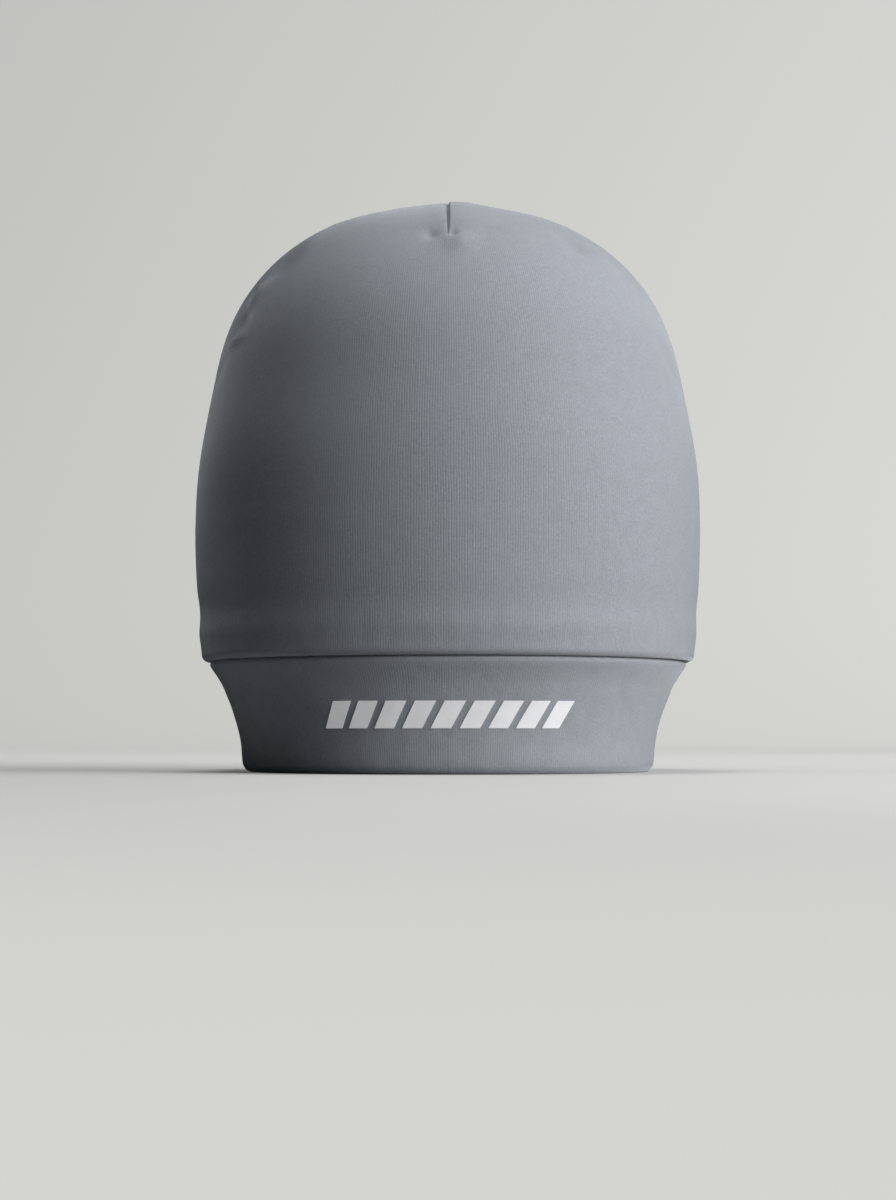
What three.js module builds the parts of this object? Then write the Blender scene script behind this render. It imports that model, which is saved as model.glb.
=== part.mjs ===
// Close-fitting skull cap of smooth stretch knit. A domed crown is closed at the top by four
// darts that meet in a cross, and its lower edge rolls over the seam of a folded double band
// that draws in to the hem. Both are cloth walls, hollow inside, open at the hem.
import * as THREE from "three";

// Driving dimensions in millimetres. +Z is up and the front of the cap faces -Y. The origin is
// on the surface that the hem rests on, under the middle of the crown's widest ring.
const CAP_HEIGHT = 187.5;
const WIDEST = { height: 82, halfWidth: 85, halfDepth: 97.5 };
const CROWN_CLOTH = 1.6;
const SEAM_HEIGHT = 36.6;
const SEAM_GAP = 0.3;
const SEAM_ALLOWANCE = 3.2;

// The dome above the widest ring: exponents of its outline seen from the front and the side.
const DOME = { frontPower: 2.6, sidePower: 2.35, apexForward: 6 };
// Its flanks are drawn in a little between the widest ring and the shoulders.
const FLANK_DRAW = { depth: 2.2, height: 126, spread: 23 };
// The plan of every ring: fuller at its four corners, and narrower in front than behind.
const PLAN = { cornerFullness: 0.018, frontNarrowing: 0.045 };
// Below the widest ring the crown hangs in to the lip that rolls over the seam.
const HANG = { inset: 2.3, power: 1.6 };
const LIP_RADIUS = 3.2;

// The band, as insets from the widest ring at heights above the hem: outside, then inside.
const BAND_OUTSIDE = [
  { height: SEAM_HEIGHT - SEAM_GAP, inset: 5.9 },
  { height: 31.3, inset: 8.2 },
  { height: 24.6, inset: 10.9 },
  { height: 17.8, inset: 13.4 },
  { height: 11.1, inset: 15.2 },
  { height: 5.2, inset: 15.7 },
  { height: 2.2, inset: 16.0 },
  { height: 0.7, inset: 16.7 },
  { height: 0, inset: 17.8 },
];
const BAND_INSIDE = [
  { height: 0, inset: 20.4 },
  { height: 0.9, inset: 20.9 },
  { height: 4.0, inset: 19.9 },
  { height: 10.5, inset: 18.3 },
  { height: 17.8, inset: 16.5 },
  { height: 27.0, inset: 12.9 },
  { height: SEAM_HEIGHT - SEAM_GAP, inset: 8.7 },
];

// A dart is a sewn groove from the apex out to its reach, with puffed cloth on both sides and a
// pucker just beyond its end. Those in front and behind reach further than those at the sides.
const DART_REACH = { lengthwise: 60, across: 47 };
const DART = { fade: 5, depth: 1.2, halfWidth: 0.9 };
const DART_LIPS = { rise: 0.9, offset: 2.5, spread: 8 };
const PUCKER = { beyond: 4.5, rise: 1.1, spread: 5.2 };
const DART_ALLOWANCE = { depth: 1.2, halfWidth: 2.6 };
// The closing seam down the middle of the back, through crown and band.
const BACK_SEAM = { depth: 0.5, halfWidth: 1.0 };

// Soft dents, by their place (azimuth in degrees from the front, towards +X), their size along
// the cloth, their depth (a ridge is negative) and their slant in degrees from level.
const DENTS = [
  { azimuth: -68, height: 152, length: 16, width: 6.5, depth: 1.1, slant: 38 },
  { azimuth: -76, height: 139, length: 14, width: 6.5, depth: -0.7, slant: 32 },
  { azimuth: 70, height: 168, length: 14, width: 8, depth: 0.8, slant: -30 },
  { azimuth: -64, height: 172, length: 13, width: 8, depth: 0.6, slant: 30 },
  { azimuth: 80, height: 133, length: 15, width: 7, depth: 0.8, slant: -35 },
  { azimuth: 150, height: 60, length: 24, width: 9, depth: 1.0, slant: 12 },
  { azimuth: -146, height: 63, length: 22, width: 9, depth: 0.9, slant: -14 },
];

// How finely the cloth is divided. Columns crowd up to the dart lines and to the back seam.
const COLUMNS_PER_QUARTER = 19;
const CROWDING = { step: 1.5, widestTurn: 0.3, endsBeyondDart: 14 };
const DOME_ROWS = { outside: 22, inside: 12 };
const HANG_ROWS = { outside: 6, inside: 3 };
const LIP_ROWS = { outside: 4, inside: 2 };

const QUARTER = Math.PI / 2;
const radians = (degrees) => (degrees * Math.PI) / 180;
const bell = (distance, spread) => Math.exp(-((distance / spread) ** 2));
const smooth = (t) => t * t * (3 - 2 * t);
const clamp = (t) => Math.min(1, Math.max(0, t));

// One ring of the cap: its height, its half width and half depth, and how far forward it lies.
function domeRing(rise, inset) {
  const top = CAP_HEIGHT - WIDEST.height - inset;
  const height = WIDEST.height + top * rise;
  const { frontPower, sidePower, apexForward } = DOME;
  const draw = FLANK_DRAW.depth * bell(height - FLANK_DRAW.height, FLANK_DRAW.spread);
  const across = (1 - rise ** frontPower) ** (1 / frontPower);
  const along = (1 - rise ** sidePower) ** (1 / sidePower);
  return {
    height,
    halfWidth: (WIDEST.halfWidth - inset - draw) * across,
    halfDepth: (WIDEST.halfDepth - inset - draw) * along,
    forward: apexForward * smooth(rise),
  };
}

function lowRing(height, inset) {
  return {
    height,
    halfWidth: WIDEST.halfWidth - inset,
    halfDepth: WIDEST.halfDepth - inset,
    forward: 0,
  };
}

// The turn from a seam line to its first column: close beside a dart, and even below its end.
function firstTurn(half, sewn) {
  const even = QUARTER / (COLUMNS_PER_QUARTER + 1);
  const close = Math.min(CROWDING.widestTurn, CROWDING.step / Math.max(half, 1));
  const ease = sewn ? 0 : smooth(clamp((half - DART_REACH.lengthwise) / CROWDING.endsBeyondDart));
  return close + ease * (even - close);
}

// Azimuths round a ring: one column on each dart line, and the rest spread between their firsts.
function azimuthsOf(ring) {
  const found = [];
  for (let quarter = 0; quarter < 4; quarter++) {
    const start = quarter * QUARTER;
    const lengthwise = quarter % 2 === 0;
    const near = lengthwise ? ring.halfDepth : ring.halfWidth;
    const far = lengthwise ? ring.halfWidth : ring.halfDepth;
    const first = firstTurn(near, quarter === 2);
    const last = firstTurn(far, quarter === 1);
    found.push(start);
    for (let k = 0; k < COLUMNS_PER_QUARTER; k++) {
      const share = k / (COLUMNS_PER_QUARTER - 1);
      found.push(start + first + share * (QUARTER - first - last));
    }
  }
  return found;
}

// A bare point of a ring, before darts and dents.
function ringPoint(ring, azimuth) {
  const fullness = 1 + (PLAN.cornerFullness * (1 - Math.cos(4 * azimuth))) / 2;
  const narrowing = 1 - PLAN.frontNarrowing * Math.cos(azimuth);
  return new THREE.Vector3(
    ring.halfWidth * Math.sin(azimuth) * fullness * narrowing,
    -ring.halfDepth * Math.cos(azimuth) * fullness - ring.forward,
    ring.height,
  );
}

// Where a point lies beside its nearest dart: how far past its end, how far to the side of it,
// and how strongly the dart is sewn there.
function besideDart(point, ring) {
  const x = Math.abs(point.x);
  const y = Math.abs(point.y + ring.forward);
  const past = Math.hypot(x, y) - (y > x ? DART_REACH.lengthwise : DART_REACH.across);
  return { past, lateral: Math.min(x, y), strength: smooth(clamp(-past / DART.fade)) };
}

// How far the cloth stands out at a point, from the darts: grooves, puffed lips and puckers.
function dartRise(point, ring) {
  const { past, lateral, strength } = besideDart(point, ring);
  const groove = -DART.depth * bell(lateral, DART.halfWidth);
  const lips = DART_LIPS.rise * bell(lateral - DART_LIPS.offset, DART_LIPS.spread);
  const pucker = PUCKER.rise * bell(Math.hypot(past - PUCKER.beyond, lateral), PUCKER.spread);
  return strength * (groove + lips) + pucker;
}

function backSeamRise(point) {
  const behind = point.y > 0 ? 1 : 0;
  return -BACK_SEAM.depth * behind * bell(point.x, BACK_SEAM.halfWidth);
}

function dentRise(azimuth, ring) {
  let rise = 0;
  for (const dent of DENTS) {
    const apart = azimuth - radians(dent.azimuth);
    const turn = Math.atan2(Math.sin(apart), Math.cos(apart));
    const along = turn * ring.halfDepth;
    const up = ring.height - dent.height;
    const slant = radians(dent.slant);
    const u = along * Math.cos(slant) + up * Math.sin(slant);
    const v = up * Math.cos(slant) - along * Math.sin(slant);
    rise -= dent.depth * bell(u, dent.length) * bell(v, dent.width);
  }
  return rise;
}

// A point of the crown's cloth, moved in or out along the way from the middle of the cap.
function crownPoint(ring, azimuth, inside) {
  const point = ringPoint(ring, azimuth);
  const middle = new THREE.Vector3(0, -ring.forward, Math.min(ring.height, WIDEST.height));
  const outward = point.clone().sub(middle).normalize();
  const { lateral, strength } = besideDart(point, ring);
  const ridge = -DART_ALLOWANCE.depth * strength * bell(lateral, DART_ALLOWANCE.halfWidth);
  const aboveLip = smooth(clamp((ring.height - SEAM_HEIGHT - LIP_RADIUS) / LIP_RADIUS));
  const shared = dentRise(azimuth, ring) * aboveLip;
  const own = inside ? ridge : dartRise(point, ring) + backSeamRise(point) * aboveLip;
  return point.addScaledVector(outward, shared + own);
}

// Joins rings of points into a closed skin. With poles it is closed at both ends by a point,
// and without them the last ring joins the first.
function skin(rings, poles) {
  const positions = [];
  rings.forEach((ring) => ring.forEach((p) => positions.push(p.x, p.y, p.z)));
  const columns = rings[0].length;
  const index = [];
  const at = (row, column) => (row % rings.length) * columns + (column % columns);
  const joins = poles ? rings.length - 1 : rings.length;
  for (let row = 0; row < joins; row++) {
    for (let column = 0; column < columns; column++) {
      const [a, b] = [at(row, column), at(row, column + 1)];
      const [c, d] = [at(row + 1, column), at(row + 1, column + 1)];
      index.push(a, c, b, b, c, d);
    }
  }
  if (poles) {
    const first = positions.length / 3;
    poles.forEach((p) => positions.push(p.x, p.y, p.z));
    const end = rings.length - 1;
    for (let column = 0; column < columns; column++) {
      index.push(first, at(0, column), at(0, column + 1));
      index.push(first + 1, at(end, column + 1), at(end, column));
    }
  }
  const geometry = new THREE.BufferGeometry();
  geometry.setAttribute("position", new THREE.Float32BufferAttribute(positions, 3));
  geometry.setIndex(index);
  geometry.computeVertexNormals();
  return geometry;
}

// Rows of the dome from just under the apex down to the widest ring, evenly along the cloth.
function domeRings(rows, inset) {
  const rings = [];
  for (let row = 1; row <= rows; row++) {
    const turn = QUARTER * (1 - row / rows);
    rings.push(domeRing(Math.sin(turn) ** (2 / DOME.frontPower), inset));
  }
  return rings;
}

// Rows from under the widest ring down to the top of the lip.
function hangRings(rows, inset) {
  const bottom = SEAM_HEIGHT + LIP_RADIUS;
  const rings = [];
  for (let row = 1; row <= rows; row++) {
    const share = row / rows;
    const height = WIDEST.height + share * (bottom - WIDEST.height);
    rings.push(lowRing(height, inset + HANG.inset * share ** HANG.power));
  }
  return rings;
}

// Rows of the lip that rolls under to the seam, as a quarter turn of the given radius.
function lipRings(rows, radius) {
  const rings = [];
  for (let row = 1; row <= rows; row++) {
    const turn = (QUARTER * row) / rows;
    const inset = HANG.inset + LIP_RADIUS - radius * Math.cos(turn);
    rings.push(lowRing(SEAM_HEIGHT + LIP_RADIUS - radius * Math.sin(turn), inset));
  }
  return rings;
}

function crown() {
  const lipInside = LIP_RADIUS - CROWN_CLOTH;
  const footInset = HANG.inset + LIP_RADIUS + SEAM_ALLOWANCE;
  const outside = [
    ...domeRings(DOME_ROWS.outside, 0),
    ...hangRings(HANG_ROWS.outside, 0),
    ...lipRings(LIP_ROWS.outside, LIP_RADIUS),
    lowRing(SEAM_HEIGHT, footInset),
  ];
  const inside = [
    ...domeRings(DOME_ROWS.inside, CROWN_CLOTH),
    ...hangRings(HANG_ROWS.inside, CROWN_CLOTH),
    ...lipRings(LIP_ROWS.inside, lipInside),
    lowRing(SEAM_HEIGHT + CROWN_CLOTH, footInset),
  ].reverse();
  const rings = [
    ...outside.map((ring) => azimuthsOf(ring).map((azimuth) => crownPoint(ring, azimuth, false))),
    ...inside.map((ring) => azimuthsOf(ring).map((azimuth) => crownPoint(ring, azimuth, true))),
  ];
  const apex = new THREE.Vector3(0, -DOME.apexForward, CAP_HEIGHT - DART.depth);
  const underside = apex.clone().setZ(CAP_HEIGHT - CROWN_CLOTH - DART_ALLOWANCE.depth);
  return skin(rings, [apex, underside]);
}

function band() {
  const sections = [...BAND_OUTSIDE, ...BAND_INSIDE];
  const rings = sections.map(({ height, inset }, row) => {
    const ring = lowRing(height, inset);
    return azimuthsOf(ring).map((azimuth) => {
      const point = ringPoint(ring, azimuth);
      const onFace = row > 0 && row < BAND_OUTSIDE.length - 2;
      return onFace ? point.setY(point.y + backSeamRise(point)) : point;
    });
  });
  return skin(rings, null);
}

const crownKnit = new THREE.MeshStandardMaterial({ color: 0x868b93, roughness: 0.82, metalness: 0 });
const bandKnit = new THREE.MeshStandardMaterial({ color: 0x7e838b, roughness: 0.8, metalness: 0 });

function named(name, geometry, material) {
  const mesh = new THREE.Mesh(geometry, material);
  mesh.name = name;
  return mesh;
}

const cap = new THREE.Group();
cap.name = "skull_cap";
cap.add(named("crown", crown(), crownKnit), named("band", band(), bandKnit));

export default cap;
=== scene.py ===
"""A close-fitting skull cap of smooth stretch knit, resting on its hem on a pale floor.

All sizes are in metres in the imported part's own frame: +Z is up and the front of the cap faces
-Y. The cap is a domed crown closed by four darts, sewn to a folded band of double knit.
"""

import logging
import math
from dataclasses import dataclass
from enum import Enum, IntEnum
from functools import reduce
from typing import Any, Mapping, Optional, Sequence

import bpy
import numpy as np
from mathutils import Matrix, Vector


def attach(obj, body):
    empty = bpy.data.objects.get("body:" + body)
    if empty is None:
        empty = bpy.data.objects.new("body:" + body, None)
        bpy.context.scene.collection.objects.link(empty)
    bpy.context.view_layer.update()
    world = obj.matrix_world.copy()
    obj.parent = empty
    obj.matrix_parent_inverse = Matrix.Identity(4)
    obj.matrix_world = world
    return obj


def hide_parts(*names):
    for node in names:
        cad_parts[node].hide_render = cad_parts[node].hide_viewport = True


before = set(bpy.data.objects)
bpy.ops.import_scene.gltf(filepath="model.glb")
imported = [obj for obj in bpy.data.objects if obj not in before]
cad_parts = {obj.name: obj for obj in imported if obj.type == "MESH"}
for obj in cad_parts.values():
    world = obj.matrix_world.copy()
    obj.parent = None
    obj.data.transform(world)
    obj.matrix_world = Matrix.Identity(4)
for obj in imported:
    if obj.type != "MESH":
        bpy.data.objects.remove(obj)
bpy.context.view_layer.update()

LOG = logging.getLogger("skull_cap")
MM = 0.001
QUARTER = math.pi / 2
TINY = 1e-9
WELD = 0.004 * MM
CLOTH_MAP = "cloth"

Colour = tuple[float, float, float]
Place = tuple[float, float, float]
Socket = bpy.types.NodeSocket


class Kind(Enum):
    """The kinds of socket that the node groups have."""

    OBJECT = "NodeSocketObject"
    MATERIAL = "NodeSocketMaterial"
    GEOMETRY = "NodeSocketGeometry"
    VECTOR = "NodeSocketVector"
    NUMBER = "NodeSocketFloat"
    COUNT = "NodeSocketInt"

    @classmethod
    def of(cls, value: Any) -> "Kind":
        """Return the kind of socket that takes a value."""
        kinds = {bpy.types.Object: cls.OBJECT, bpy.types.Material: cls.MATERIAL, int: cls.COUNT}
        return kinds.get(type(value), cls.NUMBER)


class Curve(Enum):
    """The ways from one end of a range to the other."""

    EASED = "SMOOTHSTEP"
    STRAIGHT = "LINEAR"


class Side(IntEnum):
    """The two sides of the crown's cloth, numbered as its materials are."""

    FACE = 0
    BACK = 1


def bell(distance: np.ndarray, spread: float) -> np.ndarray:
    """Return a smooth bump that is 1 at no distance and fades over the spread."""
    return np.exp(-((distance / spread) ** 2))


def smooth(share: np.ndarray) -> np.ndarray:
    """Return an eased share, held between 0 and 1."""
    held = np.clip(share, 0.0, 1.0)
    return held * held * (3.0 - 2.0 * held)


@dataclass(frozen=True)
class Ring:
    """One level ring of the cap's oval plan."""

    height: float
    half_width: float
    half_depth: float
    forward: float = 0.0


@dataclass(frozen=True)
class CapForm:
    """The form of the cap, as level rings from the hem up to the apex."""

    dome_height: float = 187.5 * MM
    widest_height: float = 82 * MM
    half_width: float = 85 * MM
    half_depth: float = 97.5 * MM
    seam_height: float = 36.6 * MM
    front_power: float = 2.6
    side_power: float = 2.35
    apex_forward: float = 6 * MM
    flank_depth: float = 2.2 * MM
    flank_height: float = 126 * MM
    flank_spread: float = 23 * MM
    corner_fullness: float = 0.018
    front_narrowing: float = 0.045

    def dome_ring(self, rise: float, inset: float) -> Ring:
        """Return a ring above the widest one.

        Args:
            rise: the ring's share of the way from the widest ring up to the apex.
            inset: how far inside the cap's bare surface it lies.

        Returns:
            The ring.
        """
        top = self.dome_height - self.widest_height - inset
        height = self.widest_height + top * rise
        draw = self.flank_depth * float(bell(height - self.flank_height, self.flank_spread))
        across = (1 - rise**self.front_power) ** (1 / self.front_power)
        along = (1 - rise**self.side_power) ** (1 / self.side_power)
        return Ring(
            height,
            (self.half_width - inset - draw) * across,
            (self.half_depth - inset - draw) * along,
            self.apex_forward * float(smooth(rise)),
        )

    def low_ring(self, height: float, inset: float) -> Ring:
        """Return a ring below the widest one, at a height and an inset from it."""
        return Ring(height, self.half_width - inset, self.half_depth - inset)

    def points(self, ring: Ring, azimuths: np.ndarray) -> np.ndarray:
        """Return the bare points of a ring.

        Args:
            ring: the ring.
            azimuths: turns from the front, towards +X, in radians.

        Returns:
            One point for each azimuth, as rows of x, y and z.
        """
        fullness = 1 + self.corner_fullness * (1 - np.cos(4 * azimuths)) / 2
        narrowing = 1 - self.front_narrowing * np.cos(azimuths)
        return np.stack(
            [
                ring.half_width * np.sin(azimuths) * fullness * narrowing,
                -ring.half_depth * np.cos(azimuths) * fullness - ring.forward,
                np.full_like(azimuths, ring.height),
            ],
            axis=1,
        )

    def outward(self, ring: Ring, points: np.ndarray) -> np.ndarray:
        """Find the way out of the cap at each of a ring's points.

        Args:
            ring: the ring.
            points: its points.

        Returns:
            The directions, each 1 long.
        """
        middle = np.array([0.0, -ring.forward, min(ring.height, self.widest_height)])
        away = points - middle
        return away / np.maximum(np.linalg.norm(away, axis=1, keepdims=True), TINY)


@dataclass(frozen=True)
class Dent:
    """A soft dent, or a ridge where its depth is negative, in degrees and millimetres."""

    azimuth: float
    height: float
    length: float
    width: float
    depth: float
    slant: float

    def rise(self, azimuths: np.ndarray, ring: Ring) -> np.ndarray:
        """Find how far the dent moves a ring's points outwards.

        Args:
            azimuths: the azimuths of the points.
            ring: the ring.

        Returns:
            The moves, negative where they are inwards.
        """
        apart = azimuths - math.radians(self.azimuth)
        along = np.arctan2(np.sin(apart), np.cos(apart)) * ring.half_depth
        up = ring.height - self.height * MM
        slant = math.radians(self.slant)
        u = along * math.cos(slant) + up * math.sin(slant)
        v = up * math.cos(slant) - along * math.sin(slant)
        return -self.depth * MM * bell(u, self.length * MM) * bell(v, self.width * MM)


@dataclass(frozen=True)
class Pucker:
    """A small bump where a dart ends, or a hollow where its rise is negative, in millimetres."""

    beyond: float
    side: float
    rise: float
    spread: float

    def at(self, past: np.ndarray, side: np.ndarray) -> np.ndarray:
        """Return the rise at distances past a dart's end and to its side."""
        away = np.hypot(past - self.beyond * MM, side - self.side * MM)
        return self.rise * MM * bell(away, self.spread * MM)


@dataclass(frozen=True)
class Darts:
    """The four darts at the top: sewn grooves that end in a pucker."""

    reach_lengthwise: float = 63 * MM
    reach_across: float = 47 * MM
    fade: float = 2.2 * MM
    depth: float = 0.9 * MM
    apex_depth_share: float = 0.35
    deepening_start: float = 24 * MM
    deepening_span: float = 20 * MM
    open_width: float = 0.20 * MM
    steep_width: float = 0.14 * MM
    near_lip_rise: float = 0.42 * MM
    near_lip_offset: float = 1.1 * MM
    near_lip_spread: float = 0.8 * MM
    near_lip_slope: float = 4.0 * MM
    lip_rise: float = 0.5 * MM
    lip_offset: float = 2.5 * MM
    lip_spread: float = 9 * MM
    lip_fade: float = 8.8 * MM
    folded_rise: float = 0.8 * MM
    folded_width: float = 0.8 * MM
    folded_spread: float = 12 * MM
    folded_end: float = 45.0
    folded_turn: float = 35.0
    puckers: tuple[Pucker, ...] = (
        Pucker(3.0, 4.2, 1.1, 4.8),
        Pucker(-0.65, 1.8, -0.8, 1.3),
        Pucker(-0.8, -5.4, -0.95, 2.4),
    )
    across_share: float = 0.35
    allowance_depth: float = 1.2 * MM
    allowance_half_width: float = 2.6 * MM

    def beside(self, points: np.ndarray, ring: Ring) -> tuple[np.ndarray, np.ndarray, np.ndarray]:
        """Place points beside their nearest dart.

        Args:
            points: the points of a ring.
            ring: the ring.

        Returns:
            How far each lies past the dart's end, how far to its side (positive on the side that
            the sewn edge is folded to), and how strongly the dart is sewn there.
        """
        x, y = points[:, 0], points[:, 1] + ring.forward
        lengthwise = np.abs(y) > np.abs(x)
        reach = np.where(lengthwise, self.reach_lengthwise, self.reach_across)
        past = np.hypot(x, y) - reach
        side = np.where(lengthwise, -np.sign(y) * x, np.sign(x) * y)
        return past, side, smooth(-past / self.fade)

    def outside_rise(self, points: np.ndarray, ring: Ring) -> np.ndarray:
        """Find how far the darts move the cloth's face outwards.

        Args:
            points: the points of a ring.
            ring: the ring.

        Returns:
            The moves, negative where they are inwards.
        """
        past, side, sewn = self.beside(points, ring)
        lateral = np.abs(side)
        width = np.where(side < 0, self.open_width, self.steep_width)
        radius = np.hypot(points[:, 0], points[:, 1] + ring.forward)
        deepening = smooth((radius - self.deepening_start) / self.deepening_span)
        share = self.apex_depth_share + (1 - self.apex_depth_share) * deepening
        groove = -self.depth * share * bell(side, width)
        lips = self.lip_rise * bell(lateral - self.lip_offset, self.lip_spread)
        from_lip = side + self.near_lip_offset
        spread = np.where(from_lip < 0, self.near_lip_slope, self.near_lip_spread)
        lips = lips + self.near_lip_rise * share * bell(from_lip, spread)
        turn = np.degrees(np.arcsin(np.clip(lateral / np.maximum(radius, TINY), 0.0, 1.0)))
        folded = self.folded_rise * smooth(side / self.folded_width)
        folded = folded * bell(np.maximum(side, 0.0), self.folded_spread)
        folded = folded * smooth((self.folded_end - turn) / self.folded_turn)
        lengthwise = np.abs(points[:, 1] + ring.forward) > np.abs(points[:, 0])
        weight = np.where(lengthwise, 1.0, self.across_share)
        ends = weight * sum(pucker.at(past, side) for pucker in self.puckers)
        eased = smooth(-past / self.lip_fade)
        return sewn * groove + eased * (lips + folded) + ends

    def inside_rise(self, points: np.ndarray, ring: Ring) -> np.ndarray:
        """Return how far the darts' folded edges move the cloth's back outwards."""
        _, side, sewn = self.beside(points, ring)
        return -self.allowance_depth * sewn * bell(side, self.allowance_half_width)


class Web:
    """A node tree under construction."""

    def __init__(self, tree: bpy.types.NodeTree) -> None:
        """Start on a tree, keeping the nodes that it already has."""
        self.tree = tree

    def add(
        self, kind: str, feeds: Optional[Mapping[Any, Any]] = None, **settings: Any
    ) -> bpy.types.Node:
        """Add a node.

        Args:
            kind: the node's type.
            feeds: for each input, by name or number, a value or the socket that feeds it.
            **settings: properties of the node, set before its inputs.

        Returns:
            The new node.
        """
        node = self.tree.nodes.new(kind)
        count = len(self.tree.nodes)
        node.location = (190 * (count % 12), -230 * (count // 12))
        for name, value in settings.items():
            setattr(node, name, value)
        for key, feed in (feeds or {}).items():
            if isinstance(feed, Socket):
                self.tree.links.new(feed, node.inputs[key])
            else:
                node.inputs[key].default_value = feed
        return node

    def one(self, kind: str, feeds: Optional[Mapping[Any, Any]] = None, **settings: Any) -> Socket:
        """Add a node, as add does, and return its first output."""
        return self.add(kind, feeds, **settings).outputs[0]

    def math(self, operation: str, *feeds: Any) -> Socket:
        """Add a Math node and return its result."""
        return self.one("ShaderNodeMath", dict(enumerate(feeds)), operation=operation)

    def less(self, value: Any, taken: Any) -> Socket:
        """Take one value from another."""
        return self.math("SUBTRACT", value, taken)

    def total(self, *feeds: Any) -> Any:
        """Add up several values."""
        return reduce(lambda result, feed: self.math("ADD", result, feed), feeds)

    def product(self, *feeds: Any) -> Any:
        """Multiply several values."""
        return reduce(lambda result, feed: self.math("MULTIPLY", result, feed), feeds)

    def point(self, x: Any = 0.0, y: Any = 0.0, z: Any = 0.0) -> Socket:
        """Put three values together as a vector."""
        return self.one("ShaderNodeCombineXYZ", {"X": x, "Y": y, "Z": z})

    def parts(self, vector: Socket) -> Any:
        """Take a vector apart into its X, Y and Z."""
        return self.add("ShaderNodeSeparateXYZ", {0: vector}).outputs

    def noise(self, place: Socket, scale: Any, detail: float = 2.0, rough: float = 0.5) -> Socket:
        """Return a noise between 0 and 1."""
        feeds = {"Vector": place, "Scale": scale, "Detail": detail, "Roughness": rough}
        return self.one("ShaderNodeTexNoise", feeds)

    def ranged(
        self,
        value: Socket,
        start: float,
        end: float,
        low: Any = 0.0,
        high: Any = 1.0,
        curve: Curve = Curve.EASED,
    ) -> Socket:
        """Map a value from one range to another, and hold it there.

        Args:
            value: the value.
            start: where it gives the low result.
            end: where it gives the high result.
            low: the low result.
            high: the high result.
            curve: the way from one to the other.

        Returns:
            The result.
        """
        feeds = {"Value": value, "From Min": start, "From Max": end, "To Min": low, "To Max": high}
        return self.one("ShaderNodeMapRange", feeds, interpolation_type=curve.value)

    def tinted(self, shade: Socket, colour: Colour) -> Socket:
        """Return a colour, lighter or darker by a shade."""
        feeds = {0: self.point(shade, shade, shade), 1: colour}
        return self.one("ShaderNodeVectorMath", feeds, operation="MULTIPLY")

    def surface(self, feeds: Mapping[str, Any]) -> None:
        """Add the surface shader with its inputs, and lead it out of the material."""
        self.add("ShaderNodeOutputMaterial", {0: self.one("ShaderNodeBsdfPrincipled", feeds)})

    def dressed(self, geometry: Socket, finish: Socket) -> None:
        """Make a geometry real, give it its material and lead it out of the group.

        Args:
            geometry: the geometry.
            finish: the material.
        """
        real = self.one("GeometryNodeRealizeInstances", {0: geometry})
        feeds = {"Geometry": real, "Material": finish}
        self.add("NodeGroupOutput", {0: self.one("GeometryNodeSetMaterial", feeds)})


def new_group(
    name: str, tree_kind: str, inputs: Mapping[str, Kind], outputs: Mapping[str, Kind]
) -> Web:
    """Start a node group.

    Args:
        name: the group's name.
        tree_kind: what kind of nodes it holds.
        inputs: the kind of each named input.
        outputs: the kind of each named output.

    Returns:
        The group, with its sockets but no nodes.
    """
    tree = bpy.data.node_groups.new(name, tree_kind)
    for in_out, sockets in (("INPUT", inputs), ("OUTPUT", outputs)):
        for socket, kind in sockets.items():
            tree.interface.new_socket(socket, in_out=in_out, socket_type=kind.value)
    return Web(tree)


def growing(name: str, values: Mapping[str, Any]) -> Web:
    """Start a group of geometry nodes with an input for each named value."""
    inputs = {key: Kind.of(value) for key, value in values.items()}
    return new_group(name, "GeometryNodeTree", inputs, {"Geometry": Kind.GEOMETRY})


def new_material(name: str) -> tuple[bpy.types.Material, Web]:
    """Start a material.

    Args:
        name: its name.

    Returns:
        The material, and its tree with no nodes in it.
    """
    material = bpy.data.materials.new(name)
    material.use_nodes = True
    material.node_tree.nodes.clear()
    return material, Web(material.node_tree)


def placed(name: str, data: Any) -> bpy.types.Object:
    """Put a mesh, light or camera into the scene.

    Args:
        name: the new object's name.
        data: the mesh, light or camera.

    Returns:
        The object.
    """
    thing = bpy.data.objects.new(name, data)
    bpy.context.scene.collection.objects.link(thing)
    return thing


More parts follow.
